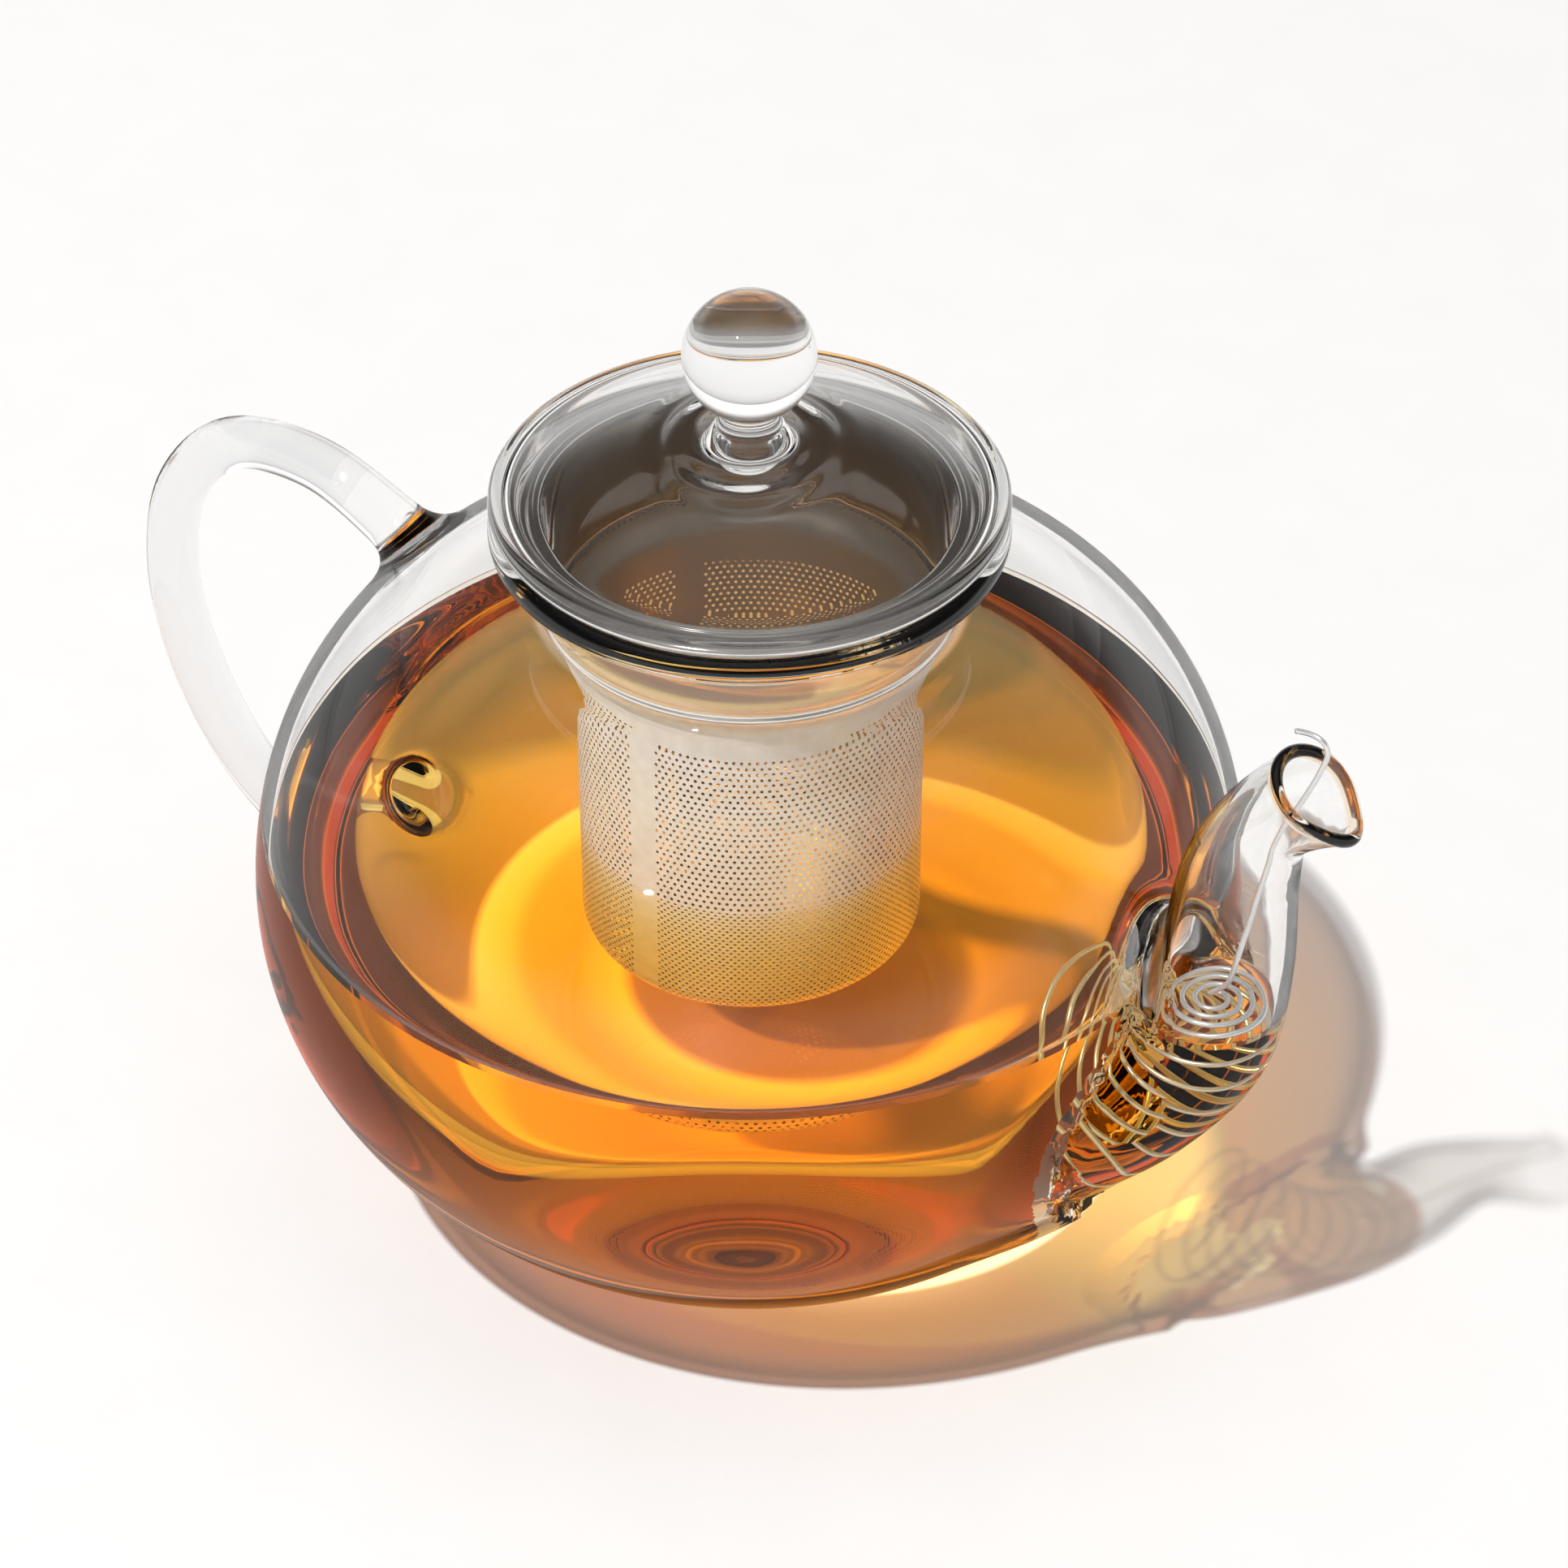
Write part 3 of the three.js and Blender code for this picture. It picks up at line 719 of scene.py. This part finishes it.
def math_node(nodes, links, operation, first, second=None):
    made = nodes.new("ShaderNodeMath")
    made.operation = operation
    for socket, value in zip(made.inputs, (first, second)):
        if isinstance(value, (int, float)):
            socket.default_value = value
        elif value is not None:
            links.new(value, socket)
    return made.outputs[0]


def place(nodes, links):
    """The distance from the pot's axis and the height, in metres."""
    coordinates, split = nodes.new("ShaderNodeTexCoord"), nodes.new("ShaderNodeSeparateXYZ")
    links.new(coordinates.outputs["Object"], split.inputs[0])
    x, y, z = split.outputs
    square = math_node(nodes, links, "MULTIPLY", x, x)
    other = math_node(nodes, links, "MULTIPLY", y, y)
    return math_node(nodes, links, "SQRT", math_node(nodes, links, "ADD", square, other)), z


def between(nodes, links, share, low, high):
    """A value that goes from low to high as share goes from 0 to 1."""
    return math_node(nodes, links, "ADD", math_node(nodes, links, "MULTIPLY", share, high - low), low)


GLASS_IOR, TEA_IOR = 1.47, 1.33
MIRRORING, NECK_TOP_Z = 0.4, 0.105  # share of its mirroring the glass keeps below this height, in metres


def clear_glass(name, wetted):
    """Borosilicate glass. Where tea touches it, light bends only by the step from glass to tea."""
    clear = (0.985, 0.992, 0.988, 1)
    material, nodes, links, shader = principled(
        name, Base_Color=clear, Roughness=0.0, IOR=GLASS_IOR, Transmission_Weight=1.0
    )
    bump(nodes, links, noise(nodes, links, 22.0), 0.00012, shader)
    edge = nodes.new("ShaderNodeLayerWeight")
    edge.inputs["Blend"].default_value = 0.5
    tint = ramp(
        nodes, links, edge.outputs["Facing"],
        (0.0, (0.95, 0.945, 0.935)), (0.6, (0.88, 0.87, 0.86)),
        (0.9, (0.5, 0.48, 0.47)), (1.0, (0.3, 0.28, 0.27)),
    )
    shine = 1.0
    if wetted:
        inside = nodes.new("ShaderNodeAttribute")
        inside.attribute_name = "inside"
        height = place(nodes, links)[1]
        below = math_node(nodes, links, "LESS_THAN", height, TEA_Z * MM)
        inner = math_node(nodes, links, "GREATER_THAN", inside.outputs["Fac"], 0.5)
        wet = math_node(nodes, links, "MULTIPLY", inner, below)
        links.new(between(nodes, links, wet, GLASS_IOR, GLASS_IOR / TEA_IOR), shader.inputs["IOR"])
        tint = gathered_light(nodes, links, tint, inside.outputs["Fac"], height)
        # on the way out of the glass all the mirroring is kept, or its total reflections would be black
        face = nodes.new("ShaderNodeNewGeometry")
        leaving = math_node(
            nodes, links, "MULTIPLY", face.outputs["Backfacing"],
            math_node(nodes, links, "LESS_THAN", inside.outputs["Fac"], 0.5),
        )
        above = math_node(nodes, links, "GREATER_THAN", height, NECK_TOP_Z)
        full = math_node(nodes, links, "MAXIMUM", leaving, above)
        shine = between(nodes, links, full, MIRRORING, 1.0)
        # the handle is a solid rod, tinted grey: painted shade for the darker surroundings its glass bends
        # into view
        axes, coordinates = nodes.new("ShaderNodeSeparateXYZ"), nodes.new("ShaderNodeTexCoord")
        links.new(coordinates.outputs["Object"], axes.inputs[0])
        rod = math_node(nodes, links, "LESS_THAN", axes.outputs["X"], -(BELLY_R + 0.4) * MM)
        glass_tone_with_rod_shade = mixed(nodes, links, "MIX", rod, clear, (0.86, 0.87, 0.88, 1))
        # and the rim of the spout's mouth is a warm bead
        tilt, last = math.radians(MOUTH_TILT), SPOUT[-1]
        along = math_node(
            nodes, links, "ADD", math_node(nodes, links, "MULTIPLY", axes.outputs["X"], math.cos(tilt)),
            math_node(nodes, links, "MULTIPLY", height, math.sin(tilt)),
        )
        edge_at = (last[0] * math.cos(tilt) + last[1] * math.sin(tilt) - 1.1) * MM
        mouth = math_node(nodes, links, "GREATER_THAN", along, edge_at)
        warm = mixed(nodes, links, "MIX", mouth, glass_tone_with_rod_shade, (0.95, 0.84, 0.68, 1))
        links.new(warm, shader.inputs["Base Color"])
    let_light_by(nodes, links, shader, tint, shine)
    return material


def gathered_light(nodes, links, tint, inside, height):
    """How much of the key light the pot sends to a spot on the table: it is a lens full of tea, which
    gathers the light in a bright disc and takes it from the floor around."""
    coordinates, split = nodes.new("ShaderNodeTexCoord"), nodes.new("ShaderNodeSeparateXYZ")
    links.new(coordinates.outputs["Object"], split.inputs[0])
    x, y, z = split.outputs

    def calc(operation, first, second=None):
        return math_node(nodes, links, operation, first, second)

    # where a light ray through this point of the glass lands on the table
    sun_x, sun_y, sun_z = SUN_FROM
    land_x = calc("SUBTRACT", x, calc("MULTIPLY", z, sun_x / sun_z))
    land_y = calc("SUBTRACT", y, calc("MULTIPLY", z, sun_y / sun_z))

    def reach(centre_x, centre_y, semi_x, semi_y):
        u = calc("DIVIDE", calc("SUBTRACT", land_x, centre_x), semi_x)
        v = calc("DIVIDE", calc("SUBTRACT", land_y, centre_y), semi_y)
        return calc("SQRT", calc("ADD", calc("MULTIPLY", u, u), calc("MULTIPLY", v, v)))

    disc = reach(-0.001, 0.018, 0.0525, 0.0485)
    # bright inside the disc, brightest at its rim, dim outside
    lit = ramp(
        nodes, links, calc("MULTIPLY", disc, 0.5),
        (0.30, (0.55, 0.54, 0.6)), (0.44, (0.62, 0.62, 0.7)), (0.465, (0.85, 1.0, 2.2)),
        (0.5, (0.9, 1.15, 4.0)), (0.512, (0.2, 0.145, 0.13)), (1.0, (0.11, 0.075, 0.06)),
    )
    # behind the pot the flank lights a wider crescent
    far_side = calc("MULTIPLY", calc("ADD", land_y, 0.02), 20.0)
    behind = ramp(nodes, links, far_side, (0.0, (0, 0, 0)), (1.0, (1, 1, 1)))
    from_axis = calc("MULTIPLY", reach(0.0, 0.0, 1.0, 1.0), 10.0)
    near = ramp(nodes, links, from_axis, (0.72, (0.42, 0.4, 0.36)), (0.8, (0, 0, 0)))
    crescent = mixed(nodes, links, "MULTIPLY", 1.0, near, behind)
    total = mixed(nodes, links, "LIGHTEN", 1.0, lit, crescent)
    # the cup's shadow inside a bright ring
    ring = ramp(
        nodes, links, calc("MULTIPLY", reach(0.0, 0.013, 1.0, 1.0), 20.0),
        (0.0, (0.55, 0.5, 0.4)), (0.53, (0.5, 0.45, 0.35)), (0.575, (1.7, 1.8, 1.0)),
        (0.62, (1.45, 1.5, 0.9)), (0.72, (1.0, 1.0, 1.0)),
    )
    total = mixed(nodes, links, "MULTIPLY", 1.0, total, ring)
    total = mixed(nodes, links, "MULTIPLY", 1.0, total, (4.6, 4.4, 4.0, 1))
    # only the outer face of the lower half counts, so that a ray is dimmed or gathered once
    outer = calc("MULTIPLY", calc("LESS_THAN", inside, 0.5), calc("LESS_THAN", height, 0.07))
    return mixed(nodes, links, "MULTIPLY", outer, tint, total)


def mixed(nodes, links, blend, factor, first, second):
    made = nodes.new("ShaderNodeMix")
    made.data_type, made.blend_type = "RGBA", blend
    made.clamp_result = False
    for name, value in (("Factor", factor), ("A", first), ("B", second)):
        socket = made.inputs[name]
        if isinstance(value, (float, tuple)):
            socket.default_value = value
        else:
            links.new(value, socket)
    return made.outputs["Result"]


def tea_liquid():
    """The tea. Only its open surface bends light on its own; at the glass it is the glass that does."""
    material, nodes, links, shader = principled(
        "tea", Base_Color=(1.0, 0.97, 0.9, 1), Roughness=0.0, IOR=TEA_IOR, Transmission_Weight=1.0
    )
    bump(nodes, links, noise(nodes, links, 30.0, 1.0), 0.00008, shader)
    face, split = nodes.new("ShaderNodeNewGeometry"), nodes.new("ShaderNodeSeparateXYZ")
    links.new(face.outputs["True Normal"], split.inputs[0])
    upright = math_node(nodes, links, "ABSOLUTE", split.outputs["Z"])
    level = math_node(nodes, links, "GREATER_THAN", upright, 0.4)
    at_top = math_node(nodes, links, "GREATER_THAN", place(nodes, links)[1], (TEA_Z - 0.3) * MM)
    open_face = math_node(nodes, links, "MULTIPLY", level, at_top)
    links.new(between(nodes, links, open_face, 1.0, TEA_IOR), shader.inputs["IOR"])
    absorption = nodes.new("ShaderNodeVolumeAbsorption")
    absorption.inputs["Color"].default_value = (0.97, 0.78, 0.1, 1)
    absorption.inputs["Density"].default_value = 38.0
    links.new(absorption.outputs[0], nodes["Material Output"].inputs["Volume"])
    let_light_by(nodes, links, shader, (0.97, 0.95, 0.92))
    return material


def steel(name, colour, low, high, scale, height, metallic=1.0, inner=None, shadow=None, satin=None):
    """Stainless steel, a little uneven in gloss. Low and high are its roughness, and height is its bump's.
    Inner is the darker, warmer colour painted on a sheet's inner side as painted shade, shadow the tint of
    light through it, and satin the height below which the outer side isn't polished."""
    material, nodes, links, shader = principled(name, Metallic=metallic)
    grain = noise(nodes, links, scale, 4.0)
    darker = tuple(0.9 * c for c in colour)
    finish = ramp(nodes, links, grain, (0.3, darker), (0.7, colour))
    # the inner side is bare metal in a darker, warmer colour: painted shade on the sheet's inner side
    if inner:
        side = nodes.new("ShaderNodeNewGeometry")
        finish = mixed(nodes, links, "MIX", side.outputs["Backfacing"], finish, (*inner, 1))
        bare = between(nodes, links, side.outputs["Backfacing"], metallic, 1.0)
        links.new(bare, shader.inputs["Metallic"])
    gloss = ramp(nodes, links, grain, (0.3, (low,) * 3), (0.7, (high,) * 3))
    if satin:
        coordinates, dot = nodes.new("ShaderNodeTexCoord"), nodes.new("ShaderNodeVectorMath")
        dot.operation = "DOT_PRODUCT"
        flat = nodes.new("ShaderNodeVectorMath")
        flat.operation = "MULTIPLY"
        flat.inputs[1].default_value = (1, 1, 0)
        links.new(coordinates.outputs["Object"], flat.inputs[0])
        links.new(flat.outputs[0], dot.inputs[0])
        links.new(coordinates.outputs["Normal"], dot.inputs[1])
        outward = math_node(nodes, links, "GREATER_THAN", dot.outputs["Value"], 0.0)
        low_down = math_node(nodes, links, "LESS_THAN", place(nodes, links)[1], satin)
        both = math_node(nodes, links, "MULTIPLY", outward, low_down)
        links.new(between(nodes, links, both, metallic, 0.7), shader.inputs["Metallic"])
        gloss = mixed(nodes, links, "MIX", both, gloss, (0.14, 0.14, 0.14, 1))
        finish = mixed(nodes, links, "MIX", both, finish, (0.9, 0.87, 0.84, 1))
    links.new(finish, shader.inputs["Base Color"])
    links.new(gloss, shader.inputs["Roughness"])
    bump(nodes, links, grain, height, shader)
    if shadow:
        let_light_by(nodes, links, shader, shadow)
    return material


def plaster():
    material, nodes, links, shader = principled("floor_plaster", Roughness=0.7)
    grain = noise(nodes, links, 60.0, 6.0)
    links.new(
        ramp(nodes, links, grain, (0.3, (0.875, 0.885, 0.9)), (0.7, (0.89, 0.9, 0.915))),
        shader.inputs["Base Color"],
    )
    bump(nodes, links, grain, 0.00002, shader)
    return material


# ---- assembly ----
pot_finish = clear_glass("clear_glass", True)
lid_finish = clear_glass("lid_glass", False)
tea = tea_liquid()
mirror_steel = steel("polished_steel", (0.5, 0.47, 0.45), 0.05, 0.1, 40.0, 0.00002, satin=0.1265)
# the sleeve's inner side is painted darker and warmer: painted shade inside the drum
satin_steel = steel(
    "perforated_steel", (0.88, 0.87, 0.87), 0.3, 0.38, 500.0, 0.000003,
    metallic=0.35, inner=(0.4, 0.35, 0.3), shadow=(0.5, 0.46, 0.38),
)
wire_steel = steel(
    "steel_wire", (0.74, 0.75, 0.77), 0.15, 0.25, 200.0, 0.00001, metallic=0.6, shadow=(0.8, 0.79, 0.78)
)

glass_nodes = ("pot_bowl", "pot_belly", "pot_shoulder", "pot_neck", "spout", "handle")
for piece, finish, body, nodes_replaced, slot in (
    (glass_pot(), pot_finish, "pot", glass_nodes, "clear_glass"),
    (tea_body(), tea, "pot", (), "tea"),
    (glass_lid(), lid_finish, "lid", ("lid_dome", "lid_knob"), "clear_glass"),
    (infuser_collar(), mirror_steel, "infuser", ("infuser_flange", "infuser_collar"), "polished_steel"),
    (infuser_drum(), satin_steel, "infuser", ("infuser_drum", "infuser_cup"), "perforated_steel"),
    (strainer_wire(), wire_steel, "strainer", ("spout_strainer",), "steel_wire"),
):
    piece.data.materials.clear()
    piece.data.materials.append(finish)
    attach(piece, body)
    if nodes_replaced:
        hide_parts(*nodes_replaced)

FLOOR = 6
floor_corners = [(-FLOOR, -FLOOR, 0), (FLOOR, -FLOOR, 0), (FLOOR, FLOOR, 0), (-FLOOR, FLOOR, 0)]
floor = mesh_piece("floor", (floor_corners, [(0, 1, 2, 3)]), plaster(), 1)

# ---- light ----
world = bpy.data.worlds.new("studio")
bpy.context.scene.world = world
world.use_nodes = True
nodes, links = world.node_tree.nodes, world.node_tree.links
coordinates, split = nodes.new("ShaderNodeTexCoord"), nodes.new("ShaderNodeSeparateXYZ")
links.new(coordinates.outputs["Generated"], split.inputs[0])
sky = ramp(
    nodes, links, split.outputs["Z"],
    (0.0, (1.2, 1.19, 1.18)), (0.2, (1.2, 1.19, 1.18)), (0.36, (0.35, 0.34, 0.33)),
    (0.5, (0.12, 0.115, 0.11)), (0.75, (0.12, 0.115, 0.11)), (0.9, (0.45, 0.44, 0.43)),
    (1.0, (0.7, 0.68, 0.66)),
)
links.new(sky, nodes["Background"].inputs["Color"])
nodes["Background"].inputs["Strength"].default_value = 1.0


SUN_DISTANCE, POOL_R = 6.0, 5.0
sun = bpy.data.lights.new("key", "SPOT")
sun.energy, sun.color = 1330, (1, 0.975, 0.945)
sun.spot_size, sun.spot_blend = 2 * math.atan(POOL_R / SUN_DISTANCE), 0.3
sun.shadow_soft_size = 0.075
key = bpy.data.objects.new("key", sun)
key.location = Vector((0, 0.05, 0)) + Vector(SUN_FROM).normalized() * SUN_DISTANCE
key.rotation_euler = Vector(SUN_FROM).to_track_quat("Z", "Y").to_euler()
bpy.context.scene.collection.objects.link(key)

# ---- camera ----
camera = bpy.data.objects.new("camera", bpy.data.cameras.new("camera"))
camera.location = (0.497, -0.710, 0.747)
aim = Vector((0.0026, 0.0054, 0.0738))
camera.rotation_euler = (aim - camera.location).to_track_quat("-Z", "Y").to_euler()
camera.data.sensor_width, camera.data.lens = 36, 160.5
bpy.context.scene.collection.objects.link(camera)
scene = bpy.context.scene
scene.camera = camera

scene.view_settings.view_transform = "Standard"
scene.cycles.max_bounces = 24
scene.cycles.transmission_bounces = 24
scene.cycles.glossy_bounces = 8
scene.cycles.diffuse_bounces = 3
scene.cycles.transparent_max_bounces = 48
scene.cycles.caustics_reflective = False
scene.cycles.caustics_refractive = False
scene.cycles.sample_clamp_indirect = 8
scene.cycles.use_denoising = True
